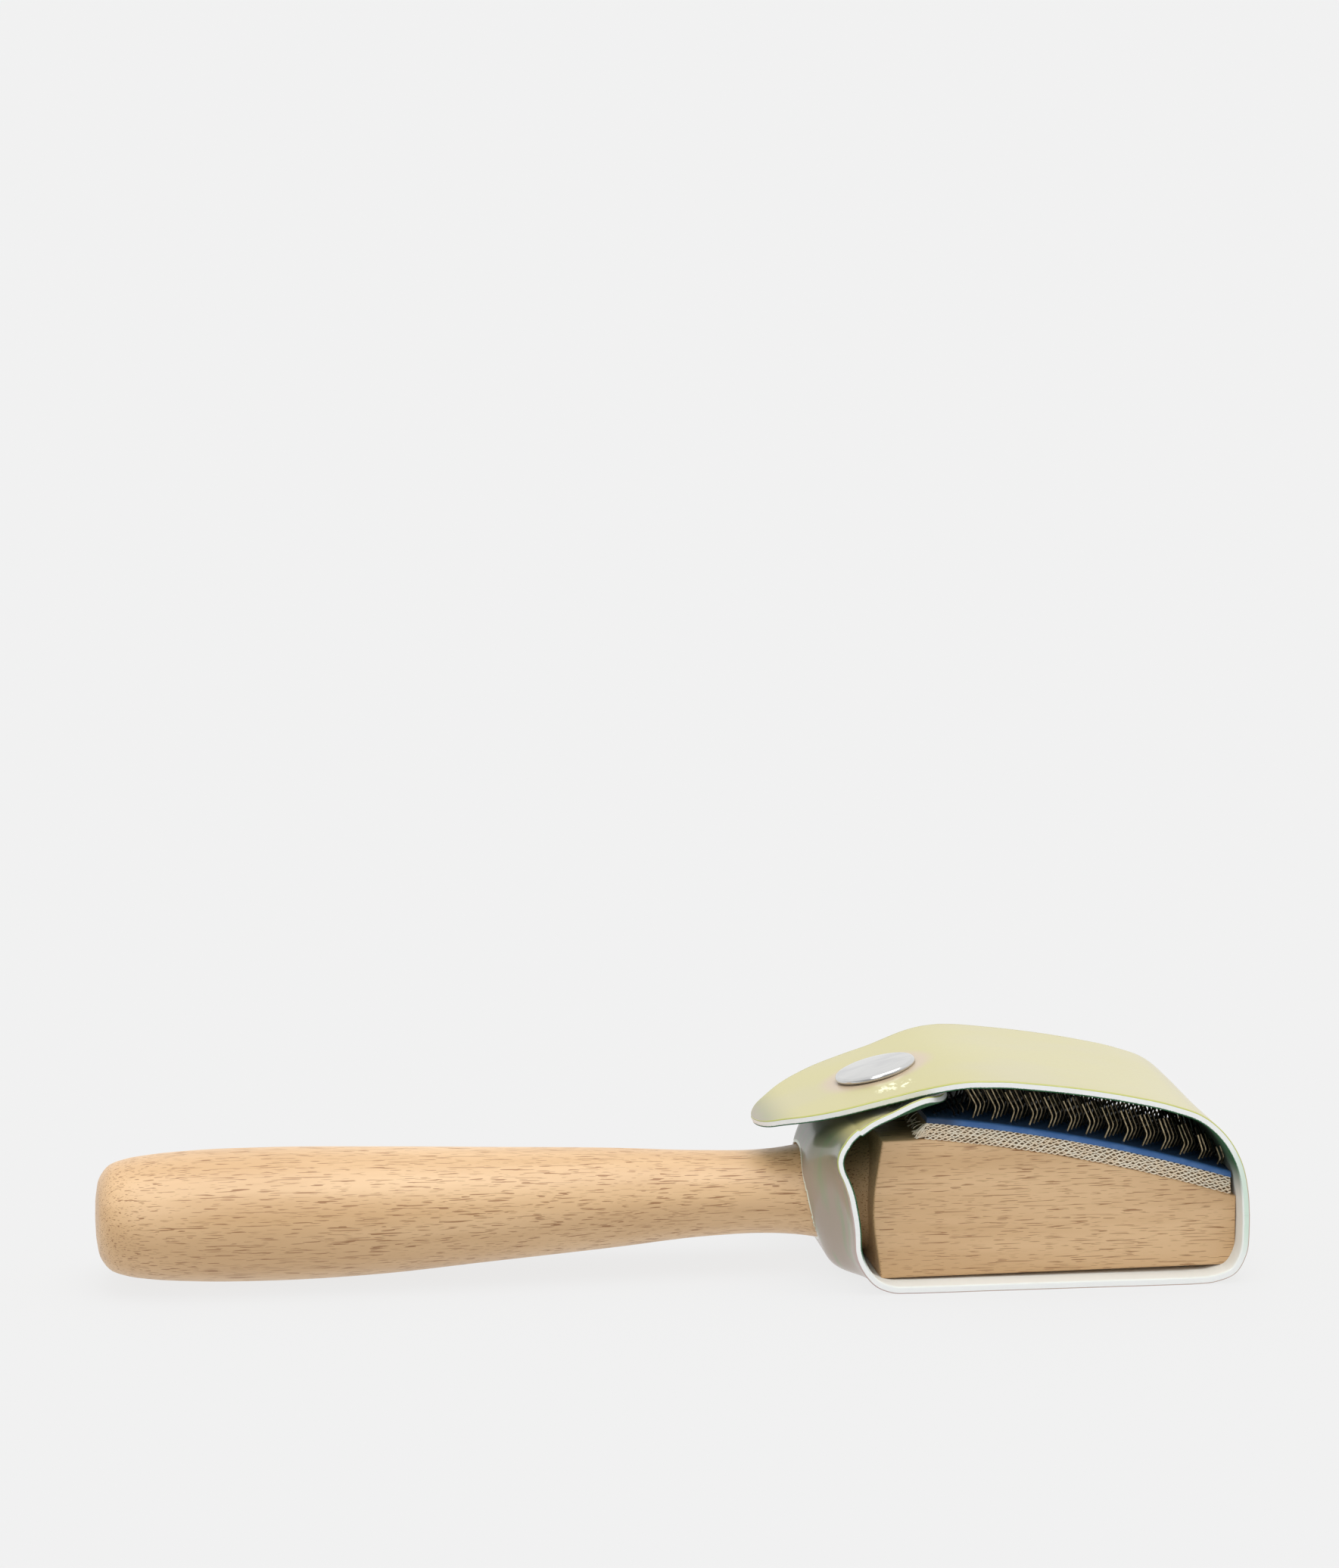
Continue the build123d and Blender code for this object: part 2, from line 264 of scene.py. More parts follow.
class Graph:
    """The node tree of one material or of the surroundings."""

    def __init__(self, owner: bpy.types.Material | bpy.types.World) -> None:
        """Takes its owner's node tree and empties it."""
        owner.use_nodes = True
        self.owner = owner
        self.tree = owner.node_tree
        self.tree.nodes.clear()

    def node(
        self,
        kind: str,
        settings: dict[str, Any] | None = None,
        sockets: dict[Any, Any] | None = None,
        output: Any = 0,
    ) -> Signal:
        """Adds a node.

        Args:
            kind: the node's type.
            settings: its properties, set first.
            sockets: input name or index to a value or a Signal.
            output: name or index of the output to return.

        Returns:
            The chosen output.
        """
        made = self.tree.nodes.new(kind)
        for key, value in (settings or {}).items():
            setattr(made, key, value)
        for key, value in (sockets or {}).items():
            if isinstance(value, Signal):
                self.tree.links.new(value.socket, made.inputs[key])
            elif value is not None:
                made.inputs[key].default_value = value
        return Signal(self, made.outputs[output])

    def place(self, scale: tuple[float, float, float] = (1, 1, 1)) -> Signal:
        """Object coordinates in mm, each axis multiplied by its scale."""
        where = self.node("ShaderNodeTexCoord", output="Object")
        return self.node(
            "ShaderNodeVectorMath",
            {"operation": "MULTIPLY"},
            {0: where, 1: tuple(s / MM for s in scale)},
        )

    def noise(
        self, scale: tuple[float, float, float], detail: float = 2.0, rough: float = 0.5, where: Signal | None = None
    ) -> Signal:
        """Noise from 0 to 1.

        Args:
            scale: cycles for each mm on each axis.
            detail: how many finer layers are added.
            rough: how strong the finer layers are.
            where: the place to read at, in mm; Object coordinates if none.

        Returns:
            The noise.
        """
        if where is None:
            spot = self.place(scale)
        else:
            spot = self.node("ShaderNodeVectorMath", {"operation": "MULTIPLY"}, {0: where, 1: scale})
        return self.node(
            "ShaderNodeTexNoise",
            {"noise_dimensions": "3D"},
            {"Vector": spot, "Scale": 1.0, "Detail": detail, "Roughness": rough},
        )

    def value(self, name: str) -> Signal:
        """A named value that the mesh holds on its points."""
        return self.node("ShaderNodeAttribute", {"attribute_name": name}, output="Fac")

    def axis(self, name: str) -> Signal:
        """One Object coordinate, in mm."""
        return self.node("ShaderNodeSeparateXYZ", None, {0: self.place()}, output=name)

    def mix(self, share: Any, first: Any, second: Any) -> Signal:
        """Colour first where share is 0 and second where it is 1."""
        ready = [(*c, 1.0) if isinstance(c, tuple) else c for c in (first, second)]
        ready = [(c, c, c, 1.0) if isinstance(c, float) else c for c in ready]
        return self.node(
            "ShaderNodeMix", {"data_type": "RGBA"}, {0: share, 6: ready[0], 7: ready[1]}, output=2
        )

    def relief(self, height: Signal, depth_mm: float, strength: float = 1.0) -> Signal:
        """A normal bent by a height that runs from 0 to 1 over depth_mm."""
        return self.node(
            "ShaderNodeBump", None, {"Strength": strength, "Distance": depth_mm * MM, "Height": height}, "Normal"
        )

    def finish(self, colour: Any, rough: Any, normal: Signal | None = None, **constants: Any) -> bpy.types.Material:
        """Ends the tree in one Principled shader.

        Args:
            colour: base colour, a triple or a Signal.
            rough: roughness, a number or a Signal.
            normal: the bent normal, if any.
            constants: other sockets of the shader, spaces written as underscores.

        Returns:
            The material.
        """
        sockets = {"Base Color": (*colour, 1.0) if isinstance(colour, tuple) else colour, "Roughness": rough}
        if normal is not None:
            sockets["Normal"] = normal
        sockets.update({key.replace("_", " "): value for key, value in constants.items()})
        shader = self.node("ShaderNodeBsdfPrincipled", None, sockets)
        self.end(shader, "ShaderNodeOutputMaterial")
        return self.owner

    def end(self, shader: Signal, kind: str) -> None:
        """Links a shader to an output node of the given kind."""
        out = self.tree.nodes.new(kind)
        self.tree.links.new(shader.socket, out.inputs["Surface"])


# ---- finishes --------------------------------------------------------------------------------
@dataclass(frozen=True)
class Beech:
    """Sanded beech with short dark ray flecks along the grain."""

    pale: Colour = (0.720, 0.485, 0.268)
    warm: Colour = (0.615, 0.392, 0.200)
    fleck: Colour = (0.310, 0.150, 0.060)

    def material(self) -> bpy.types.Material:
        """Broad bands, fine fibres and thresholded flecks, all stretched along X."""
        g = Graph(bpy.data.materials.new("beech"))
        bands = g.noise((0.022, 0.16, 0.20), 3.0, 0.55)
        fibres = g.noise((0.12, 3.0, 3.6), 3.0, 0.6)
        flecks = g.noise((0.24, 3.6, 5.6), 0.0, 0.4).band(0.685, 0.715)
        thin = g.noise((0.42, 5.4, 8.4), 0.0, 0.4).band(0.685, 0.715)
        ground = g.mix(bands.band(0.30, 0.70), self.pale, self.warm)
        fibred = g.mix(fibres.band(0.35, 0.80) * 0.14, ground, self.warm)
        flecked = g.mix(flecks * 0.88, fibred, self.fleck)
        colour = g.mix(thin * 0.60, flecked, self.fleck)
        relief = g.relief(fibres * 0.6 - flecks * 0.5, 0.03, 0.5)
        return g.finish(colour, flecks * 0.12 + fibres * 0.10 + 0.34, relief, Specular_IOR_Level=0.5)


@dataclass(frozen=True)
class CanvasYarn:
    """Cream cotton yarn, duller in patches, with painted shade on the core that shows between the yarns."""

    pale: Colour = (0.95, 0.87, 0.72)
    dull: Colour = (0.93, 0.79, 0.60)
    # painted shade: the dark colour of the core where it shows between the yarns
    painted_gap_shade: Colour = (0.26, 0.18, 0.10)

    def material(self) -> bpy.types.Material:
        """Yarn colour varied over a few mm, painted shade where the yarn value is 0 between the yarns, with fibre
        relief.
        """
        g = Graph(bpy.data.materials.new("canvas_yarn"))
        patches = g.noise((0.5, 0.5, 0.9), 3.0, 0.6)
        fibre = g.noise((6.0, 9.0, 9.0), 3.0, 0.7)
        yarn = g.mix(patches.band(0.36, 0.66), self.dull, self.pale)
        colour = g.mix(g.value("yarn"), self.painted_gap_shade, yarn)
        return g.finish(colour, 0.92, g.relief(fibre, 0.10, 0.9), Specular_IOR_Level=0.15)


@dataclass(frozen=True)
class BlueRubber:
    """Satin blue rubber facing."""

    face: Colour = (0.035, 0.120, 0.330)
    worn: Colour = (0.090, 0.200, 0.420)
    # painted shade: near black for the rubber in the shade of the teeth and the flaps
    deep: Colour = (0.010, 0.022, 0.050)

    def material(self) -> bpy.types.Material:
        """Blue along the sides with a faint bloom, and painted shade, near black, between the teeth and at the bed's
        back end under the flaps.
        """
        g = Graph(bpy.data.materials.new("blue_rubber"))
        bloom = g.noise((0.35, 0.35, 0.8), 4.0, 0.6)
        pebble = g.noise((5.0, 5.0, 5.0), 2.0, 0.5)
        face = g.mix(bloom.band(0.40, 0.75) * 0.6, self.face, self.worn)
        # painted shade across the middle of the bed and at its back end
        inner = g.axis("Y").math("ABSOLUTE").band(16.7, 15.4)
        back = g.axis("X").band(43.5, 40.0)
        colour = g.mix(inner * 0.9, g.mix(back * 0.8, face, self.deep), self.deep)
        return g.finish(colour, bloom * 0.25 + 0.38, g.relief(pebble, 0.03, 0.5))


@dataclass(frozen=True)
class ToothWire:
    """Drawn steel wire, dulled to an olive bronze."""

    bright: Colour = (0.42, 0.34, 0.21)
    dull: Colour = (0.17, 0.13, 0.075)
    # painted shade: near black for the wire in the shade deep in the bed
    deep: Colour = (0.010, 0.009, 0.008)

    def material(self) -> bpy.types.Material:
        """Metal with tarnish in patches a few tenths of a mm long, and painted shade, near black, in the bed's middle
        and back.
        """
        g = Graph(bpy.data.materials.new("tooth_wire"))
        tarnish = g.noise((1.6, 1.6, 1.6), 3.0, 0.6)
        drawn = g.mix(tarnish.band(0.35, 0.70), self.bright, self.dull)
        # painted shade across the middle of the bed and at its back end
        inner = g.axis("Y").math("ABSOLUTE").band(14.8, 9.0)
        back = g.axis("X").band(43.8, 42.6)
        colour = g.mix(inner * 0.92, g.mix(back, drawn, self.deep), self.deep)
        return g.finish(colour, tarnish * 0.25 + 0.24, g.relief(tarnish, 0.02, 0.4), Metallic=1.0)


@dataclass(frozen=True)
class PolishedCap:
    """Polished plated brass of the press stud."""

    plate: Colour = (0.66, 0.66, 0.65)
    smear: Colour = (0.58, 0.58, 0.58)

    def material(self) -> bpy.types.Material:
        """Mirror metal with faint smears in its roughness."""
        g = Graph(bpy.data.materials.new("polished_plate"))
        smears = g.noise((0.12, 0.30, 0.30), 2.0, 0.5)
        colour = g.mix(smears.band(0.45, 0.70), self.plate, self.smear)
        return g.finish(colour, smears * 0.12 + 0.08, g.relief(smears, 0.01, 0.2), Metallic=1.0)


@dataclass(frozen=True)
class PearlSheet:
    """Pearl vinyl film outside, white fibre core, felt inside; "layer" runs from 0 outside to 1 inside."""

    film: Colour = (0.475, 0.435, 0.168)
    film_grey: Colour = (0.465, 0.425, 0.210)
    film_shade: Colour = (0.365, 0.300, 0.235)
    film_streak: Colour = (0.270, 0.330, 0.200)
    film_glare: Colour = (0.900, 0.900, 0.560)
    film_green_shade: Colour = (0.060, 0.110, 0.045)
    film_mauve_shade_sheen: Colour = (0.500, 0.350, 0.330)
    film_edge_sheen: Colour = (0.480, 0.520, 0.130)
    film_blush_sheen: Colour = (0.560, 0.400, 0.390)
    cut_edge: Colour = (0.780, 0.880, 0.760)
    core: Colour = (0.900, 0.915, 0.900)
    mint: Colour = (0.600, 0.780, 0.640)
    felt: Colour = (0.900, 0.920, 0.880)
    # painted shade: dark green for the inside where it lies in shade
    inside_green_shade: Colour = (0.016, 0.105, 0.036)
    stud_x: float = 32.35
    # middle and half axes, along X and Y, of the patch of painted glare beside the stud
    glare_at: Point = (33.4, -11.6)
    glare_size: Point = (3.4, 2.9)

    def material(self) -> bpy.types.Material:
        """Colour and gloss by layer, with a faint grain on the film and fuzz on the fibre."""
        g = Graph(bpy.data.materials.new("pearl_sheet"))
        layer, rim = g.value("layer"), g.value("rim")
        # places are those of the closed cover, held on the points, so that the colours stay on the sheet if its points
        # move
        x, y, z = g.value("home_x"), g.value("home_y"), g.value("home_z")
        home = g.node("ShaderNodeCombineXYZ", None, {0: x, 1: y, 2: z})
        cloud = g.noise((0.035, 0.05, 0.05), 2.0, 0.5, home)
        grain = g.noise((2.2, 2.2, 2.2), 2.0, 0.5, home)
        fuzz = g.noise((4.5, 9.0, 9.0), 4.0, 0.75, home)
        # the film: pearl clouds; painted mauve shade and sheen round the stud and at the tip; painted shade with
        # streaks on the back wall, dark green under the tab
        stud = ((x - self.stud_x) * (x - self.stud_x) + y * y).math("SQRT")
        halo = stud.band(9.4, 6.6) * 0.55
        tip = x.band(15.6, 13.2) * 0.28
        film = g.mix(cloud.band(0.35, 0.68), self.film, self.film_grey)
        streaks = g.noise((0.30, 0.42, 0.05), 2.0, 0.5, home)
        shade = g.mix(streaks.band(0.46, 0.66) * 0.65, self.film_shade, self.film_streak)
        # painted shade: dark green high on the back wall, under the tab
        shade = g.mix(z.band(14.0, 23.0) * 0.75, shade, self.film_green_shade)
        film = g.mix(z.band(25.4, 22.0) * x.band(45.0, 34.0), film, shade)
        # painted mauve shade and sheen round the stud and at the tab's tip
        film = g.mix(halo + tip, film, self.film_mauve_shade_sheen)
        # painted highlight: a patchy glare beside the stud, standing for crumpled film that catches the light
        glare_patches = g.noise((1.1, 0.6, 0.6), 3.0, 0.6, home)
        (at_x, at_y), (long, wide) = self.glare_at, self.glare_size
        across, along = (y - at_y) * (1 / wide), (x - at_x) * (1 / long)
        patch = (across * across + along * along).math("SQRT").band(1.0, 0.55)
        film = g.mix(patch * glare_patches.band(0.52, 0.60), film, self.film_glare)
        # the hole's cut edge shows as a thin pale line
        hole = NeckHole()
        up, out = (z - hole.centre_z) * (1 / hole.half_height), y * (1 / hole.half_width)
        cut = (up * up + out * out).math("SQRT").band(1.075, 1.045) * x.band(31.0, 29.0)
        film = g.mix(cut * fuzz.band(0.30, 0.45), film, self.cut_edge)
        # painted sheen along the film's rounded side edges: pink low down, yellow-green higher up
        edge = g.mix(z.band(12.0, 20.0), self.film_blush_sheen, self.film_edge_sheen)
        film = g.mix(rim.band(0.55, 1.0) * 0.75, film, edge)
        # the inside: pale felt low down; painted dark green shade above, under the flaps, and on the back wall near
        # its side edges
        side = y.math("ABSOLUTE").band(16.5, 19.0)
        # where the painted shade goes: high up, and low on the back wall near its side edges
        dark = g.mix(z.band(12.0, 19.0), x.band(46.0, 34.0) * z.band(2.5, 7.0) * side, 1.0)
        felt = g.mix(dark, self.felt, self.inside_green_shade)
        white = g.mix(x.band(82.0, 85.0) * z.band(2.0, 9.0) * 0.75, self.core, self.mint)
        core = g.mix((layer + (fuzz - 0.5) * 0.30).band(0.74, 0.86), white, felt)
        skin = layer.band(0.17, 0.13)
        colour = g.mix(skin, core, film)
        rough = 0.92 - skin * (0.72 - grain * 0.08)
        relief = g.relief(skin * grain * 0.05 + (1 - skin) * fuzz, 0.12, 0.5)
        return g.finish(
            colour, rough, relief, Specular_IOR_Level=0.38, Sheen_Weight=0.08, Sheen_Roughness=0.4,
            Sheen_Tint=(0.95, 0.62, 0.80, 1.0), Coat_Weight=skin * 0.16, Coat_Roughness=0.05,
        )


@dataclass(frozen=True)
class Paper:
    """Plain pale floor."""

    tone: float = 0.07
    glow: float = 0.78

    def material(self) -> bpy.types.Material:
        """An even matt white, lit a little from below as a light table is."""
        g = Graph(bpy.data.materials.new("pale_floor"))
        white = (1.0, 1.0, 1.0, 1.0)
        return g.finish(
            (self.tone, self.tone, self.tone), 1.0, None,
            Specular_IOR_Level=0.0, Emission_Color=white, Emission_Strength=self.glow,
        )


class Finish(Enum):
    """The finishes of the brush, each made once."""

    BEECH = Beech()
    YARN = CanvasYarn()
    RUBBER = BlueRubber()
    WIRE = ToothWire()
    PLATE = PolishedCap()
    SHEET = PearlSheet()
    PAPER = Paper()

    def get(self) -> bpy.types.Material:
        """The material, made on first use."""
        if not hasattr(self, "made"):
            self.made = self.value.material()
        return self.made


def settle(piece: bpy.types.Object, slot: str, *nodes: str) -> bpy.types.Object:
    """Hides the CAD nodes that a piece stands for and logs its face count."""
    if nodes:
        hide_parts(*nodes)
    log.info("%s: %d faces", piece.name, len(piece.data.polygons))
    return piece


# ---- the deck that the card clothing lies on ---------------------------------------------------
@dataclass(frozen=True)
class Deck:
    """The convex top of the head: an arc through three points, seen from the side."""

    start: Point = (36.9, 22.5)
    middle: Point = (60.5, 18.75)
    end: Point = (83.9, 12.55)
    clothing_front_x: float = 82.6

    def circle(self) -> tuple[np.ndarray, float]:
        """Centre and radius of the circle through the three points, where two chords' mid-lines meet."""
        a, b, c = (np.array(p) for p in (self.start, self.middle, self.end))
        lines = np.array([b - a, c - a]) * 2
        centre = np.linalg.solve(lines, [b @ b - a @ a, c @ c - a @ a])
        return centre, float(np.linalg.norm(a - centre))

    def at(self, x: np.ndarray, height: Any = 0.0) -> tuple[np.ndarray, np.ndarray]:
        """Deck points and normals in (x, z) below the given x, raised along the normal by height."""
        centre, radius = self.circle()
        turn = np.arccos((np.asarray(x, float) - centre[0]) / radius)
        normal = np.stack([np.cos(turn), np.sin(turn)], axis=-1)
        return centre + normal * (radius + np.asarray(height, float)[..., None]), normal


# ---- wooden body -----------------------------------------------------------------------------
@dataclass
class WoodenBody:
    """Handle, neck and wedge head of one piece of beech."""

    deck: Deck
    half_width: float = 17.0
    back_x: float = 30.5
    bulge_x: float = 29.2
    bulge_z: float = 12.0
    front_x: float = 84.45
    back_top: float = 22.45
    foot_z: float = 1.4
    toe_z: float = 1.9
    toe_chamfer: Point = (1.8, 1.0)
    edge_round: float = 0.35
    # distance along X, centre height, half height, half width
    sections: tuple[tuple[float, float, float, float], ...] = (
        (-85.65, 10.20, 0.60, 0.80),
        (-85.45, 10.20, 3.60, 4.80),
        (-84.80, 10.20, 6.10, 7.80),
        (-83.40, 10.18, 7.75, 9.60),
        (-81.00, 10.15, 8.60, 10.70),
        (-77.50, 10.12, 9.15, 11.30),
        (-72.00, 10.10, 9.58, 11.80),
        (-60.00, 10.05, 9.85, 12.00),
        (-44.00, 10.10, 9.45, 11.60),
        (-27.00, 10.50, 8.50, 10.60),
        (-8.00, 10.95, 7.40, 9.30),
        (6.00, 11.20, 6.40, 8.20),
        (15.00, 11.25, 6.25, 8.00),
        (20.00, 11.35, 6.70, 8.35),
        (24.50, 11.55, 7.70, 9.40),
        (28.50, 11.80, 9.00, 11.60),
        (31.50, 11.90, 10.20, 14.20),
    )

    def handle(self) -> Surface:
        """The handle: ellipses across X whose centre and half axes follow a smooth curve through sections."""
        share = np.linspace(0, 1, 260) ** 1.35
        x, centre, high, wide = smooth_curve(self.sections, share).T[:, :, None]
        turn = (np.arange(72) * 2 * np.pi / 72)[None, :]
        points = np.stack([x + 0 * turn, wide * np.cos(turn), centre + high * np.sin(turn)], axis=-1)
        last = (len(share) - 1) * 72
        caps = [np.arange(72)[::-1], np.arange(last, last + 72)]
        return Surface(points.reshape(-1, 3), grid_quads(len(share), 72, wrap=True), caps)

    def outline(self) -> np.ndarray:
        """The head's side outline, drawn anticlockwise seen from the near side, evenly along each stretch."""
        arc_share = np.linspace(0, 1, 60)
        knots = [(self.back_x, self.back_top), (self.bulge_x, self.bulge_z), (self.back_x, self.foot_z)]
        bow = smooth_curve(knots, arc_share)
        floor = np.linspace((self.back_x, self.foot_z), (self.front_x - self.toe_chamfer[0], self.toe_z), 50)[1:]
        toe = np.linspace(floor[-1], (self.front_x, self.toe_z + self.toe_chamfer[1]), 6)[1:]
        top = self.deck.at(np.linspace(self.front_x, self.deck.start[0], 70))[0]
        front = np.linspace(toe[-1], top[0], 14)[1:-1]
        back = np.linspace(top[-1], bow[0], 10)[1:-1]
        return np.concatenate([bow, floor, toe, front, top, back])

    def head(self) -> Surface:
        """The head: its outline carried across Y, drawn in by r - r sin(t) while the side moves r - r cos(t)."""
        line = self.outline()
        way = np.roll(line, -1, axis=0) - np.roll(line, 1, axis=0)
        inward = np.stack([-way[:, 1], way[:, 0]], axis=1) / np.linalg.norm(way, axis=1)[:, None]
        t = np.linspace(0, np.pi / 2, 5)
        draw = self.edge_round * (1 - np.sin(t))
        side = self.half_width - self.edge_round * (1 - np.cos(t))
        draw, side = np.concatenate([draw, draw[::-1]]), np.concatenate([-side, side[::-1]])
        rings = line[None] + inward[None] * draw[:, None, None]
        points = np.stack([rings[..., 0], np.broadcast_to(side[:, None], rings.shape[:2]), rings[..., 1]], axis=-1)
        count = len(line)
        last = (len(side) - 1) * count
        caps = [np.arange(count), np.arange(last, last + count)[::-1]]
        return Surface(points.reshape(-1, 3), grid_quads(len(side), count, wrap=True)[:, ::-1], caps)

    def build(self) -> None:
        """Makes the body as one piece that rides on the brush."""
        piece = self.handle().join(self.head()).build("beech_body", Finish.BEECH.get(), 25)
        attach(settle(piece, "beech", "wooden_body"), "brush")


# ---- card clothing ---------------------------------------------------------------------------
@dataclass
class CardClothing:
    """Canvas plies, rubber facing and bent-wire teeth on the deck."""

    deck: Deck
    half_width: float = 16.85
    canvas: float = 2.5
    plies: int = 4
    weave: float = 1.85
    rubber: float = 0.85
    wire_radius: float = 0.165
    rows: int = 16
    teeth: int = 20
    first_row_x: float = 38.2
    last_foot_x: float = 82.1
    row_pitch: float = 2.833
    tooth_pitch: float = 1.6
    # neighbouring teeth step forward by twill, in groups
    twill: float = 0.944
    group: int = 3
    legs: Point = (2.15, 3.3)
    leans: Point = (10.0, 36.0)
    end_slope: float = 1.2
    pressed: tuple[tuple[int, float], ...] = ((0, 0.13), (1, 0.34), (13, 0.96), (14, 0.8), (15, 0.6))

    def core(self) -> Surface:
        """The glued canvas: a slab on the deck, its sides waving in and out by ply.

        Formula: the section is a rectangle across Y whose side points are drawn in by a wave of one
        period for each ply and by smooth noise.
        """
        x = np.linspace(self.deck.start[0], self.deck.clothing_front_x, 320)
        up = np.linspace(0.01, 0.99, 26)
        ply = up * self.plies
        sag = 0.12 * np.cos(2 * np.pi * ply) + 0.42
        return self.slab(x, up * self.canvas, sag, 0.10, 21)

    def lay(self, x: np.ndarray, up: np.ndarray) -> np.ndarray:
        """Places at a height above the deck; the lower they are, the further the front end reaches."""
        reach = np.clip((x - self.deck.start[0]) / (self.deck.clothing_front_x - self.deck.start[0]), 0, 1)
        slope = self.end_slope * reach**6 * (1 - up / (self.canvas + self.rubber))
        return self.deck.at(x + slope, up)[0]

    def slab(self, x: np.ndarray, up: np.ndarray, inset: np.ndarray, rough: float, seed: int) -> Surface:
        """A slab that follows the deck.

        Args:
            x: places along the deck.
            up: heights above the deck of the side points, lowest first.
            inset: how far each height's side is drawn in from the full half width.
            rough: size of the noise in the sides, in mm.
            seed: seed of that noise.

        Returns:
            The closed slab.
        """
        ring_up = np.concatenate([up, up[::-1]])
        ring_in = np.concatenate([inset, inset[::-1]])
        side = np.concatenate([-np.ones(len(up)), np.ones(len(up))])
        xs, hs = np.meshgrid(x, ring_up, indexing="ij")
        line = self.lay(xs, hs)
        flat = np.stack([xs.ravel(), side[None].repeat(len(x), 0).ravel() * 30, hs.ravel()], axis=1)
        shake = wobble(flat * [1, 1, 1.6], 2.6, seed) * 0.6 + wobble(flat, 0.9, seed + 1) * 0.4
        depth = np.abs(ring_in[None] + np.maximum(rough * (shake.reshape(xs.shape) + 0.6), 0))
        y = side[None] * (self.half_width - depth)
        points = np.stack([line[..., 0], y, line[..., 1]], axis=-1).reshape(-1, 3)
        count = len(ring_up)
        last = (len(x) - 1) * count
        caps = [np.arange(count), np.arange(last, last + count)[::-1]]
        return Surface(points, grid_quads(len(x), count, wrap=True)[:, ::-1], caps)

    def ply_edges(self) -> Surface:
        """The yarns along each ply's edge: pairs of bars in opposite waves, with smooth drift and noise."""
        x = np.linspace(self.deck.start[0] + 0.1, self.deck.clothing_front_x - 0.1, 330)
        rows, k = [], 0
        for side in (-1, 1):
            for ply in range(self.plies):
                for phase in (0.0, math.pi):
                    k += 1
                    flat = np.stack([x, np.full_like(x, ply * 9.0), np.full_like(x, side * 7.0)], axis=1)
                    drift = wobble(flat, 9.0, 40 + ply) * 0.07
                    turn = 2 * np.pi * x / self.weave + phase + ply * 1.9 + 0.9 * wobble(flat, 6.0, 90 + ply)
                    size = 0.26 + 0.05 * wobble(flat, 4.0, 60 + k)
                    up = (ply + 0.5) * self.canvas / self.plies + drift + size * np.sin(turn)
                    line = self.lay(x, up)
                    out = self.half_width - 0.30 + 0.13 * np.cos(turn) + 0.06 * wobble(flat, 1.1, 80 + k)
                    rows.append(np.stack([line[:, 0], side * out, line[:, 1]], axis=1))
        return tubes(np.array(rows), 0.115, 6)

    def frayed_end(self) -> Surface:
        """Loose fibres at the canvas's back edge: thin bars that start in the plies and curl down and back."""
        rng = np.random.default_rng(31)
        count = 90
        y = rng.uniform(-self.half_width, self.half_width, count)
        y[:26] = -self.half_width + rng.uniform(-0.1, 1.6, 26)
        up = rng.uniform(0.2, self.canvas, count)
        out = rng.uniform(0.4, 1.7, count)
        t = np.linspace(0, 1, 6)[None]
        x = self.deck.start[0] + 0.3 - (out[:, None] + 0.3) * t
        high = up[:, None] * (1 - 0.7 * t * t) + rng.normal(0, 0.25, (count, 1)) * t
        line, _ = self.deck.at(x, np.maximum(high, 0.1))
        across = y[:, None] + rng.normal(0, 0.35, (count, 1)) * t * t
        return tubes(np.stack([line[..., 0], across, line[..., 1]], axis=-1), 0.07, 5)

    def feet(self) -> tuple[np.ndarray, np.ndarray, np.ndarray]:
        """Every tooth's foot along X, its place across Y and its share of the full height."""
        row, step = np.meshgrid(np.arange(self.rows), np.arange(self.teeth), indexing="ij")
        share = np.ones(self.rows)
        for at, value in self.pressed:
            share[at] = value
        x = np.minimum(self.first_row_x + row * self.row_pitch + (step % self.group) * self.twill, self.last_foot_x)
        y = (step - self.teeth / 2 + 0.5) * self.tooth_pitch
        return x.ravel(), y.ravel(), share[row].ravel()

    def facing(self) -> Surface:
        """The rubber slab, drawn up a little round the feet of the teeth along each side."""
        x = np.linspace(self.deck.start[0], self.deck.clothing_front_x, 420)
        up = self.canvas + np.linspace(0.0, 1.0, 7) * self.rubber
        inset = np.array([0.06, 0.0, 0.0, 0.0, 0.02, 0.07, 0.16])
        return self.slab(x, up, inset, 0.03, 121)

    def tents(self) -> Surface:
        """Small collars of rubber round the feet: four rings each, from 0.8 mm wide down to the wire."""
        x, y, _ = self.feet()
        turn = np.arange(10) * 2 * np.pi / 10
        wide = np.array([0.80, 0.50, 0.28, 0.17])
        high = self.canvas + self.rubber + np.array([-0.04, 0.05, 0.16, 0.32])
        xs = x[:, None, None] + wide[None, :, None] * np.cos(turn)
        ys = y[:, None, None] + wide[None, :, None] * np.sin(turn)
        line, _ = self.deck.at(xs, np.broadcast_to(high[None, :, None], xs.shape))
        points = np.stack([line[..., 0], ys, line[..., 1]], axis=-1).reshape(-1, 3)
        one = grid_quads(4, 10, wrap=True)
        shifts = np.arange(len(x)) * 40
        quads = (one[None] + shifts[:, None, None]).reshape(-1, 4)
        caps = [c + s for s in shifts for c in (np.arange(10)[::-1], np.arange(30, 40))]
        return Surface(points, quads, caps)

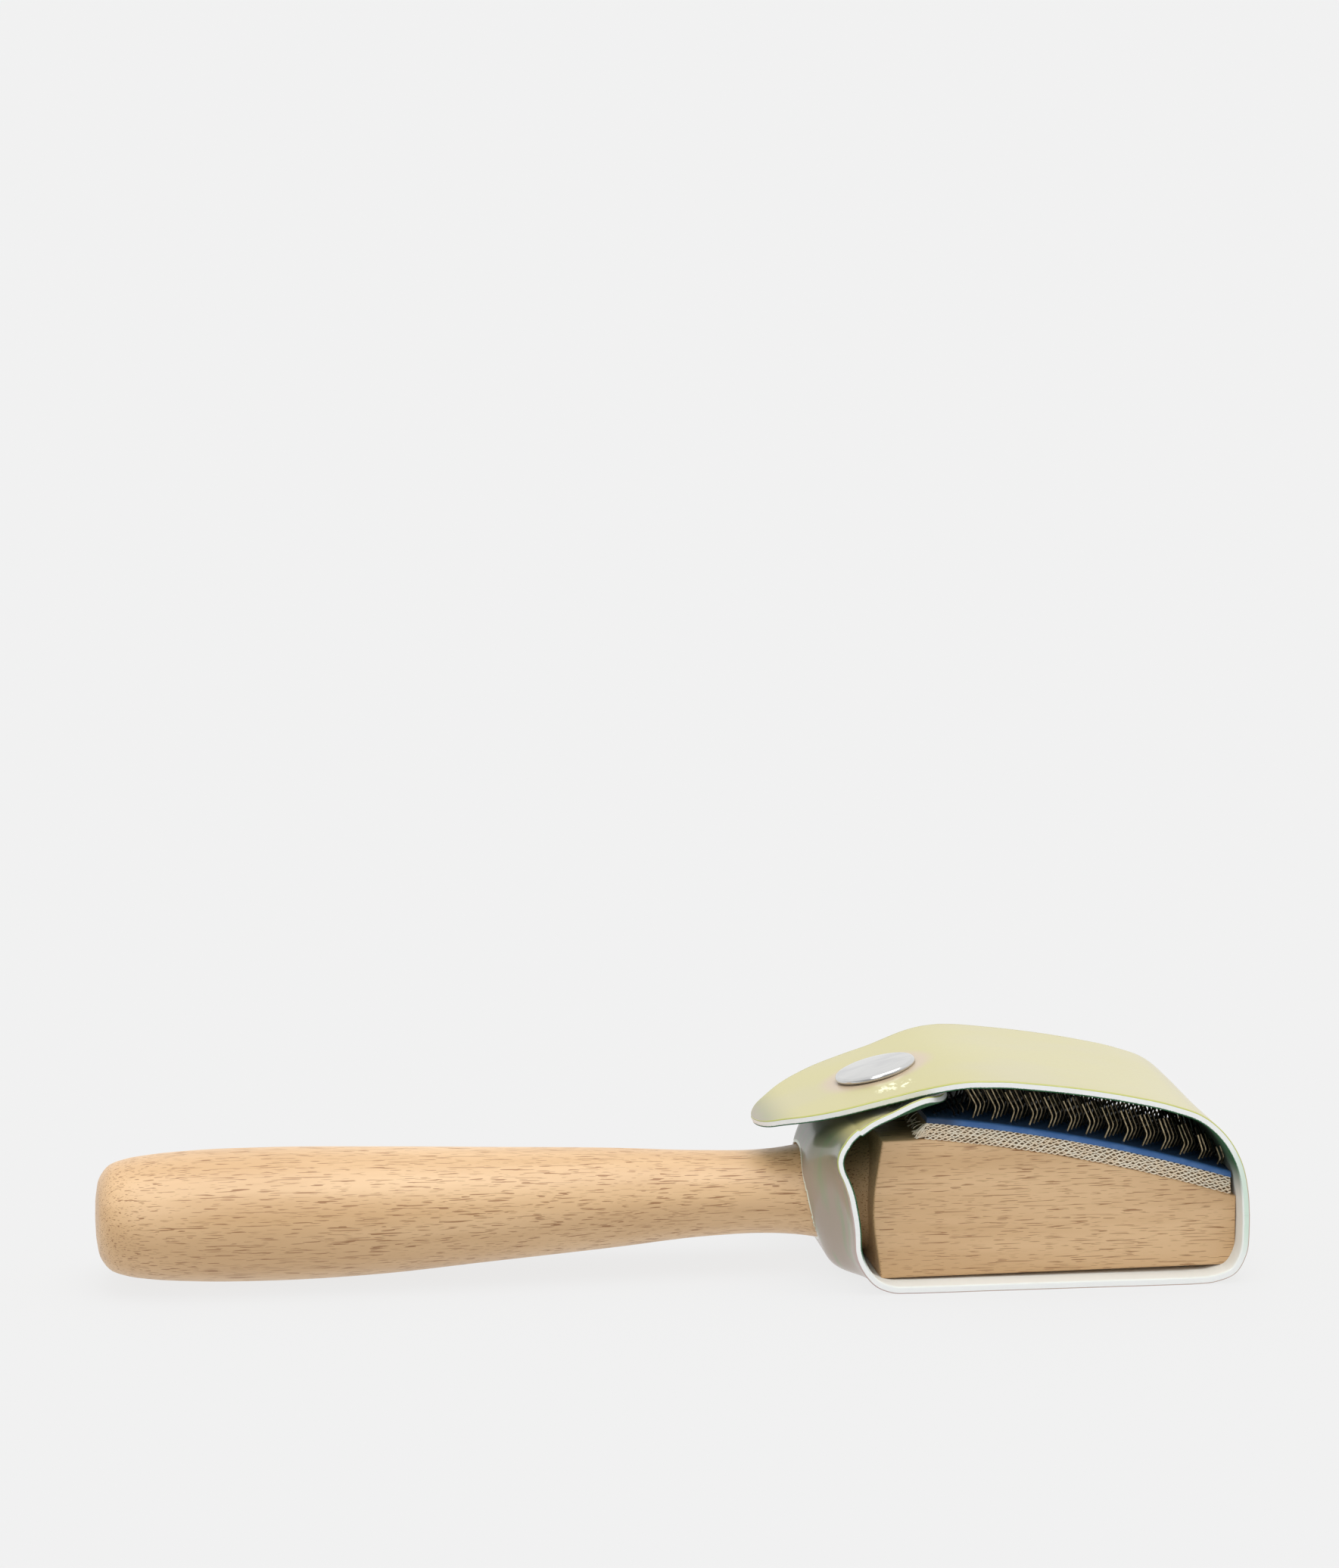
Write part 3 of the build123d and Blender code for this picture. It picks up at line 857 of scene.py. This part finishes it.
    def tooth_paths(self) -> np.ndarray:
        """Centrelines of the teeth: foot, rounded knee and tip, each leaning a little its own way.

        Formula: the path runs along the lower leg, round the knee on a quadratic curve and along the
        upper leg. Legs lean from the deck's normal by the stated degrees plus seeded scatter.
        """
        x, y, share = self.feet()
        rng = np.random.default_rng(7)
        count = len(x)
        base = self.canvas + self.rubber
        foot, normal = self.deck.at(x, np.full(count, base - 0.3))
        angle = np.arctan2(normal[:, 1], normal[:, 0])
        low = angle - np.radians(self.leans[0] + rng.normal(0, 1.0, count))
        high = angle + np.radians(self.leans[1] + rng.normal(0, 1.4, count))
        legs = np.array(self.legs)[None] * share[:, None]
        knee = foot + np.stack([np.cos(low), np.sin(low)], 1) * (legs[:, :1] + 0.3)
        way = np.stack([np.cos(high), np.sin(high)], 1)
        tip = knee + way * legs[:, 1:] * (1 - 0.03 * rng.random(count))[:, None]
        before = knee + (foot - knee) * 0.22
        after = knee + (tip - knee) * 0.16
        t = np.array([0.25, 0.5, 0.75])[:, None, None]
        bend = before * (1 - t) ** 2 + knee * 2 * t * (1 - t) + after * t**2
        line = np.concatenate([foot[None], before[None], bend, after[None], tip[None]])
        across = y[None] + np.linspace(0, 1, len(line))[:, None] * rng.normal(0, 0.07, count)
        return np.stack([line[..., 0], across, line[..., 1]], axis=-1).transpose(1, 0, 2)

    def teeth_mesh(self) -> Surface:
        """All the teeth as bars of six sides."""
        return tubes(self.tooth_paths(), self.wire_radius, 6)

    def build(self) -> None:
        """Makes the three pieces, which all ride on the brush."""
        plies = tuple(f"canvas_ply_{k + 1}" for k in range(self.plies))
        rows = tuple(f"tooth_row_{k + 1:02d}" for k in range(self.rows))
        inner, yarns, loose = self.core(), self.ply_edges(), self.frayed_end()
        for part, share in ((inner, 0.0), (yarns, 1.0), (loose, 1.0)):
            part.values["yarn"] = np.full(len(part.points), share)
        canvas = inner.join(yarns).join(loose).build("canvas_plies", Finish.YARN.get())
        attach(settle(canvas, "canvas", *plies), "brush")
        rubber = self.facing().join(self.tents()).build("rubber_facing_skin", Finish.RUBBER.get(), 60)
        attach(settle(rubber, "blue_rubber", "rubber_facing"), "brush")
        wires = self.teeth_mesh().build("wire_teeth", Finish.WIRE.get(), 60)
        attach(settle(wires, "steel_wire", *rows), "brush")


# ---- cover -----------------------------------------------------------------------------------
BACK_SHARE = np.linspace(0, 1, 250)
OUTER_SHARE = np.concatenate([np.linspace(0, 0.10, 40), np.linspace(0.10, 1, 190)[1:]])
LAYERS = np.array([0.0, 0.10, 0.16, 0.30, 0.55, 0.74, 0.88, 0.97, 1.0])


@dataclass
class SheetStrip:
    """A length of the cover's sheet: an outside line seen from the side and a half width along it."""

    line: np.ndarray
    half_width: np.ndarray
    thickness: float = 1.1
    columns: int = 57
    edge_round: float = 0.14
    # whether an end is a free edge, which is rounded, or a seam
    free_start: bool = False
    free_end: bool = False
    # how far the outside moves at (distance along, place across), in mm
    lift: Callable[[np.ndarray, np.ndarray], np.ndarray] | None = None
    hole: "NeckHole | None" = None

    def frames(self) -> tuple[np.ndarray, np.ndarray, np.ndarray]:
        """Distance along the line, its points and its outward normals, in (x, z)."""
        way = np.gradient(self.line, axis=0)
        way /= np.linalg.norm(way, axis=1)[:, None]
        normal = np.stack([-way[:, 1], way[:, 0]], axis=1)
        step = np.linalg.norm(np.diff(self.line, axis=0), axis=1)
        return np.concatenate([[0.0], np.cumsum(step)]), self.line, normal

    def layer(self, share: float) -> np.ndarray:
        """Points of the sheet at one depth, as a grid along and across.

        Formula: the outside point moves inward along the normal by share times the thickness. Near
        the faces the rim is drawn in on a quarter round, so that every edge is softly rounded.
        """
        s, line, normal = self.frames()
        v = np.linspace(-1, 1, self.columns)
        v = np.sign(v) * np.abs(v) ** 0.8
        depth = share * self.thickness
        near = min(depth, self.thickness - depth)
        draw = self.edge_round - math.sqrt(max(self.edge_round**2 - max(self.edge_round - near, 0) ** 2, 0))
        wide = np.maximum(self.half_width - draw, 0.02)
        y = wide[:, None] * v[None]
        move = np.zeros_like(y)
        if self.lift is not None:
            move = self.lift(s[:, None] + 0 * y, self.half_width[:, None] * v[None])
        out = move - depth
        ends = np.zeros((len(s), 1))
        way = np.stack([normal[:, 1], -normal[:, 0]], axis=1)
        ends[0], ends[-1] = draw * self.free_start, -draw * self.free_end
        place = line[:, None] + normal[:, None] * out[..., None] + way[:, None] * ends[..., None]
        return np.stack([place[..., 0], y, place[..., 1]], axis=-1)

    def surface(self) -> Surface:
        """The closed strip: outside and inside grids joined by rim rings, or by a hole's rim too."""
        sheets = np.array([self.layer(share) for share in LAYERS])
        rows, columns = sheets.shape[1:3]
        size = rows * columns
        index = np.arange(size).reshape(rows, columns)
        keep = np.ones((rows - 1, columns - 1), bool)
        s, _, _ = self.frames()
        if self.hole is not None:
            # faces with a corner inside the hole go, and the corners left on its rim move onto it
            inside = self.hole.inside(sheets[0]) > 0
            keep = ~(inside[:-1, :-1] | inside[1:, :-1] | inside[:-1, 1:] | inside[1:, 1:])
        quads = grid_quads(rows, columns)[keep.ravel()][:, ::-1]
        edges = np.concatenate([quads[:, [0, 1]], quads[:, [1, 2]], quads[:, [2, 3]], quads[:, [3, 0]]])
        key = np.sort(edges, axis=1)
        _, first, count = np.unique(key, axis=0, return_index=True, return_counts=True)
        rim = edges[first[count == 1]]
        if self.hole is not None:
            sheets = self.snap(sheets, rim)
        deep = len(LAYERS)
        outside, inside_faces = quads, quads[:, ::-1] + (deep - 1) * size
        bands = [
            np.concatenate([rim[:, ::-1] + k * size, rim + (k + 1) * size], axis=1) for k in range(deep - 1)
        ]
        faces = np.concatenate([outside, inside_faces, *bands])
        used, faces = np.unique(faces, return_inverse=True)
        points = sheets.reshape(-1, 3)[used]
        layer = np.repeat(LAYERS, size)[used]
        across = sheets[..., 1].reshape(-1)[used]
        span = (self.half_width[None, :, None] + 0 * sheets[..., 1]).reshape(-1)[used]
        margin = np.clip((span - np.abs(across)) / 1.2, 0, 1)
        values = {"layer": layer, "rim": 1 - margin}
        values.update(zip(("home_x", "home_y", "home_z"), points.T))
        return Surface(points, faces.reshape(-1, 4), [], values)

    def snap(self, sheets: np.ndarray, rim: np.ndarray) -> np.ndarray:
        """Moves the hole's rim corners, at every depth, along Y and Z onto the hole's outline."""
        rows, columns = sheets.shape[1:3]
        on = np.zeros(rows * columns, bool)
        on[rim.ravel()] = True
        on = on.reshape(rows, columns)
        on[0], on[-1], on[:, 0], on[:, -1] = False, False, False, False
        moved = sheets.copy()
        moved[:, on] = self.hole.onto(sheets[:, on])
        return moved


@dataclass(frozen=True)
class NeckHole:
    """The oval hole in the back wall that the neck passes through."""

    centre_z: float = 11.3
    half_width: float = 9.0
    half_height: float = 7.1
    back_of_x: float = 30.0

    def inside(self, points: np.ndarray) -> np.ndarray:
        """Above 0 inside the hole: 1 less the squared share of each half axis, on the back wall only."""
        y, z = points[..., 1] / self.half_width, (points[..., 2] - self.centre_z) / self.half_height
        return np.where(points[..., 0] < self.back_of_x, 1 - y**2 - z**2, -1.0)

    def onto(self, points: np.ndarray) -> np.ndarray:
        """The points moved straight out from the hole's centre onto its oval."""
        y, z = points[..., 1] / self.half_width, (points[..., 2] - self.centre_z) / self.half_height
        far = np.sqrt(y**2 + z**2)
        fixed = points.copy()
        fixed[..., 1] = points[..., 1] / far
        fixed[..., 2] = self.centre_z + (points[..., 2] - self.centre_z) / far
        return fixed


@dataclass
class WrapCover:
    """The sheet cover, cut into three lengths whose seams lie under the head and on the front wall."""

    width: float = 42.0
    # outside line, clockwise round the head seen from the near side; the inner flap comes last
    outer_line: tuple[Point, ...] = (
        (13.25, 22.80), (17.80, 24.75), (22.75, 26.45), (32.35, 29.30), (43.50, 31.95), (47.5, 31.95),
        (52.95, 31.40), (60.85, 30.30), (67.75, 29.00), (74.05, 27.40), (78.35, 25.70), (82.05, 22.4),
        (84.25, 18.6), (85.40, 13.80), (85.65, 10.4),
    )
    front_line: tuple[Point, ...] = (
        (85.65, 10.4), (85.65, 8.40), (85.25, 4.30), (83.65, 1.50), (80.70, 0.30), (77.20, 0.02),
        (66.0, 0.02),
        (55.0, 0.02),
    )
    back_line: tuple[Point, ...] = (
        (55.0, 0.02), (44.0, 0.02), (34.5, 0.02), (31.4, 0.14), (28.2, 1.15), (26.0, 3.20), (24.4, 6.0),
        (23.4, 9.50), (22.5, 13.5), (22.4, 17.50), (23.0, 20.8), (24.7, 23.30), (28.0, 25.25), (32.35, 26.40),
        (38.0, 27.90), (41.7, 28.95),
    )
    outer_plan: tuple[Point, ...] = (
        (13.25, 0.4), (13.75, 3.2), (14.8, 6.0), (16.75, 8.60), (20.4, 12.6), (24.75, 15.30), (29.5, 16.6),
        (34.50, 17.60),
        (40.0, 19.6), (45.50, 21.0),
    )
    inner_plan: tuple[Point, ...] = ((34.5, 21.0), (36.5, 20.2), (38.2, 18.6), (39.6, 16.0), (41.0, 11.5), (41.7, 0.4))
    # how far the back wall swells out round the neck and dents in at its side edges, by height
    swell: tuple[Point, ...] = (
        (0.0, 0.0), (2.9, 2.0), (6.3, 1.9), (9.7, 2.3), (13.5, 2.3), (17.6, 2.2), (20.7, 1.4), (23.3, 0.4), (30.0, 0.0)
    )
    dent: tuple[Point, ...] = (
        (0.0, 0.0), (1.1, 0.6), (2.7, 1.0), (5.0, 1.4), (8.1, 2.1), (12.0, 2.6), (15.1, 2.4), (17.4, 1.7),
        (19.1, 0.8),
        (21.0, 0.1), (30.0, 0.0),
    )
    curl: float = 2.7

    def plan_width(self, plan: tuple[Point, ...], x: np.ndarray) -> np.ndarray:
        """Half width of the sheet at x, read from a plan and full beyond it."""
        return smooth_table(list(plan), x)

    def outer(self) -> SheetStrip:
        """The tab, the outer flap and the upper front wall."""
        line = smooth_curve(self.outer_line, OUTER_SHARE)
        half = np.where(line[:, 0] < 45.5, self.plan_width(self.outer_plan, line[:, 0]), self.width / 2)
        return SheetStrip(line, half, lift=self.outer_lift, free_start=True)

    def outer_lift(self, s: np.ndarray, y: np.ndarray) -> np.ndarray:
        """The flap's soft hollows: slow waves of 0.08 mm that fade towards the tip, the stud and the seam."""
        flat = np.stack([s.ravel(), y.ravel(), 0 * s.ravel()], axis=1)
        wave = wobble(flat, 34.0, 5).reshape(s.shape)
        stud = 1 - np.exp(-(((s - 20.3) / 8.0) ** 2 + (y / 9.0) ** 2))
        return 0.08 * wave * stud * np.clip(s / 6, 0, 1) * np.clip((84 - s) / 12, 0, 1)

    def back_lift(self, s: np.ndarray, y: np.ndarray) -> np.ndarray:
        """The back wall's swell round the neck, its side edges' dent and the inner flap's curl.

        Formula: swell and dent are read from tables by the wall's height and fade across Y by smooth
        steps; the curl grows towards the flap's tip and with the cube of the way to its near side.
        """
        distance, line, _ = SheetStrip(smooth_curve(self.back_line, BACK_SHARE), np.zeros(len(BACK_SHARE))).frames()
        z = np.interp(s, distance, line[:, 1])
        far = np.abs(y)
        middle = 1 - np.where(y < 0, np.clip((far - 7.5) / 11.0, 0, 1), np.clip((far - 3.0) / 9.0, 0, 1))
        side = np.clip((far - 8.0) / 13.0, 0, 1)
        wall = (line[:, 0] < 34) & (line[:, 1] < 24.6)
        on_wall = np.interp(s, distance, wall.astype(float))
        swell = smooth_table(list(self.swell), z) * (3 * middle**2 - 2 * middle**3)
        dent = smooth_table(list(self.dent), z) * (3 * side**2 - 2 * side**3)
        curl = np.clip((s - 51) / 14, 0, 1) * side**3 * (y < 0)
        return (swell - dent) * on_wall + self.curl * curl

    def front(self) -> SheetStrip:
        """The lower front wall and the front half of the bottom."""
        line = np.maximum(smooth_curve(self.front_line, np.linspace(0, 1, 110)), 0.0)
        return SheetStrip(line, np.full(len(line), self.width / 2))

    def back(self) -> SheetStrip:
        """The back half of the bottom, the back wall with its hole, and the inner flap."""
        line = np.maximum(smooth_curve(self.back_line, BACK_SHARE), 0.0)
        flap = (line[:, 0] > 34.5) & (line[:, 1] > 15)
        half = np.where(flap, self.plan_width(self.inner_plan, line[:, 0]), self.width / 2)
        return SheetStrip(line, half, columns=85, lift=self.back_lift, free_end=True, hole=NeckHole())

    def flat_size(self, strip: SheetStrip) -> tuple[Point, float]:
        """A strip's flat (width, length) and area, in metres: its widest place, its line and both summed."""
        s, _, _ = strip.frames()
        area = float(np.sum((strip.half_width[1:] + strip.half_width[:-1]) * np.diff(s)))
        return (2 * float(strip.half_width.max()) * MM, float(s[-1]) * MM), area * MM * MM

    def build(self) -> None:
        """Makes the three lengths. Each bends smoothly at the fold inside it."""
        finish = Finish.SHEET.get()
        outer = self.outer().surface().build("cover_outer_flap", finish, 60)
        front = self.front().surface().build("cover_front_fold", finish, 60)
        back = self.back().surface().build("cover_back_wall", finish, 60)
        settle(outer, "vinyl_sheet", "outer_flap", "front_wall", "cover_base", "inner_flap")
        settle(front, "vinyl_sheet", "front_wall", "cover_base")
        settle(back, "vinyl_sheet", "cover_base", "inner_flap")
        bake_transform(outer)
        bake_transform(front)
        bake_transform(back)
        for piece, strip, held, rests in (
            (outer, self.outer(), "folded", ["beech_body", front]),
            (front, self.front(), "folded", ["beech_body", back]),
            (back, self.back(), "folded", ["beech_body", front]),
        ):
            flat, area = self.flat_size(strip)
            log.info("%s: flat %.1f x %.1f mm, %.0f mm2", piece.name, flat[0] / MM, flat[1] / MM, area / MM**2)


# ---- press stud --------------------------------------------------------------------------------
@dataclass
class PressStud:
    """The cap, socket and spring on the outer flap, and the stud and eyelet on the inner one."""

    place: tuple[float, float, float] = (32.35, 0.0, 29.3)
    tilt: float = 15.0
    radius: float = 6.25

    def profile(self) -> np.ndarray:
        """The cap's outline as (radius, height): a low dome that rolls over a rounded rim to a flat back."""
        turn = np.linspace(0, np.pi / 2, 13)
        dome = np.linspace(0.0, 0.91, 22)
        top = np.stack([self.radius * dome, 0.96 + 0.20 * (1 - (dome / 0.91) ** 2.0)], axis=1)
        roll = np.stack([self.radius * 0.91 + self.radius * 0.09 * np.sin(turn), 0.38 + 0.58 * np.cos(turn)], axis=1)
        under = np.array([[self.radius - 0.12, 0.14], [self.radius - 0.40, 0.02], [0.02, 0.02]])
        top[0, 0] = 0.02
        return np.concatenate([top, roll[1:], under])[::-1]

    def build(self) -> None:
        """Makes the cap and gives the parts below it their metal."""
        cap = turned(self.profile(), 96)
        lean = math.radians(self.tilt)
        turn = np.array([[math.cos(lean), 0, -math.sin(lean)], [0, 1, 0], [math.sin(lean), 0, math.cos(lean)]])
        cap.points = cap.points @ turn.T + np.array(self.place)
        piece = cap.build("stud_cap", Finish.PLATE.get(), 50)
        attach(settle(piece, "chrome_plate", "snap_cap"), "outer_flap")
        for name, finish in (
            ("snap_socket", Finish.PLATE), ("snap_stud", Finish.PLATE),
            ("snap_eyelet", Finish.PLATE), ("snap_spring", Finish.WIRE),
        ):
            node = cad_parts[name]
            node.data.materials.clear()
            node.data.materials.append(finish.get())


# ---- studio ------------------------------------------------------------------------------------
@dataclass(frozen=True)
class Studio:
    """White table, white surroundings and soft light from above."""

    eye: tuple[float, float, float] = (-92.16, -728.58, 191.28)
    yaw: float = 7.272
    pitch: float = 9.064
    lens: float = 114.2
    sensor: float = 36.0
    behind: float = 0.6
    dim: float = 0.34
    bright: float = 0.98
    # between these leans the surroundings pass from dim to bright
    horizon: Point = (-0.35, 0.70)

    def camera(self) -> None:
        """A long lens, turned by yaw towards +X and tipped down by pitch."""
        data = bpy.data.cameras.new("camera")
        data.lens, data.sensor_width, data.sensor_fit = self.lens, self.sensor, "AUTO"
        data.clip_start, data.clip_end = 0.05, 400.0
        eye = bpy.data.objects.new("camera", data)
        bpy.context.scene.collection.objects.link(eye)
        yaw, pitch = math.radians(self.yaw), math.radians(self.pitch)
        way = Vector((math.sin(yaw) * math.cos(pitch), math.cos(yaw) * math.cos(pitch), -math.sin(pitch)))
        turn = way.to_track_quat("-Z", "Y").to_matrix().to_4x4()
        eye.matrix_world = Matrix.Translation(Vector(self.eye) * MM) @ turn
        bpy.context.scene.camera = eye

    def floor(self) -> None:
        """A wide pale floor that is no part of the brush."""
        side = 150000.0
        points = np.array([[-side, -side, 0], [side, -side, 0], [side, side, 0], [-side, side, 0]], float)
        floor = Surface(points, np.array([[0, 1, 2, 3]])).build("floor", Finish.PAPER.get())

    def world(self) -> None:
        """White surroundings, bright overhead and behind the brush and dim in front of it."""
        world = bpy.data.worlds.new("white_room")
        g = Graph(world)
        way = g.node("ShaderNodeTexCoord", output="Generated")
        lean = g.node(
            "ShaderNodeVectorMath", {"operation": "DOT_PRODUCT"}, {0: way, 1: (0.0, self.behind, 1.0)}, "Value"
        )
        low, high = self.horizon
        glow = g.node(
            "ShaderNodeMapRange",
            {"interpolation_type": "SMOOTHSTEP"},
            {0: lean, 1: low, 2: high, 3: self.dim, 4: self.bright},
        )
        white = (1.0, 1.0, 1.0, 1.0)
        g.end(g.node("ShaderNodeBackground", None, {"Color": white, "Strength": glow}), "ShaderNodeOutputWorld")
        bpy.context.scene.world = world

    def sun(self, name: str, way: tuple[float, float, float], spread: float, strength: float) -> None:
        """A soft sun lamp.

        Args:
            name: its name.
            way: the direction towards it.
            spread: the angle that it fills, in degrees.
            strength: its strength.
        """
        data = bpy.data.lights.new(name, "SUN")
        data.angle, data.energy = math.radians(spread), strength
        lamp = bpy.data.objects.new(name, data)
        bpy.context.scene.collection.objects.link(lamp)
        lamp.matrix_world = Vector(way).to_track_quat("Z", "Y").to_matrix().to_4x4()

    def build(self) -> None:
        """Sets the camera, the floor, the surroundings and the lamps."""
        self.camera()
        self.floor()
        self.world()
        self.sun("overhead", (0.05, -0.12, 1.0), 50.0, 1.45)
        self.sun("front", (-0.35, -1.0, 0.75), 30.0, 0.50)
        view = bpy.context.scene.view_settings
        view.view_transform, view.look = "Standard", "None"


def main() -> None:
    """Builds the brush and its studio in order."""
    logging.basicConfig(level=logging.INFO, format="%(name)s %(message)s")
    deck = Deck()
    WoodenBody(deck).build()
    CardClothing(deck).build()
    WrapCover().build()
    PressStud().build()
    Studio().build()


if __name__ == "__main__":
    main()
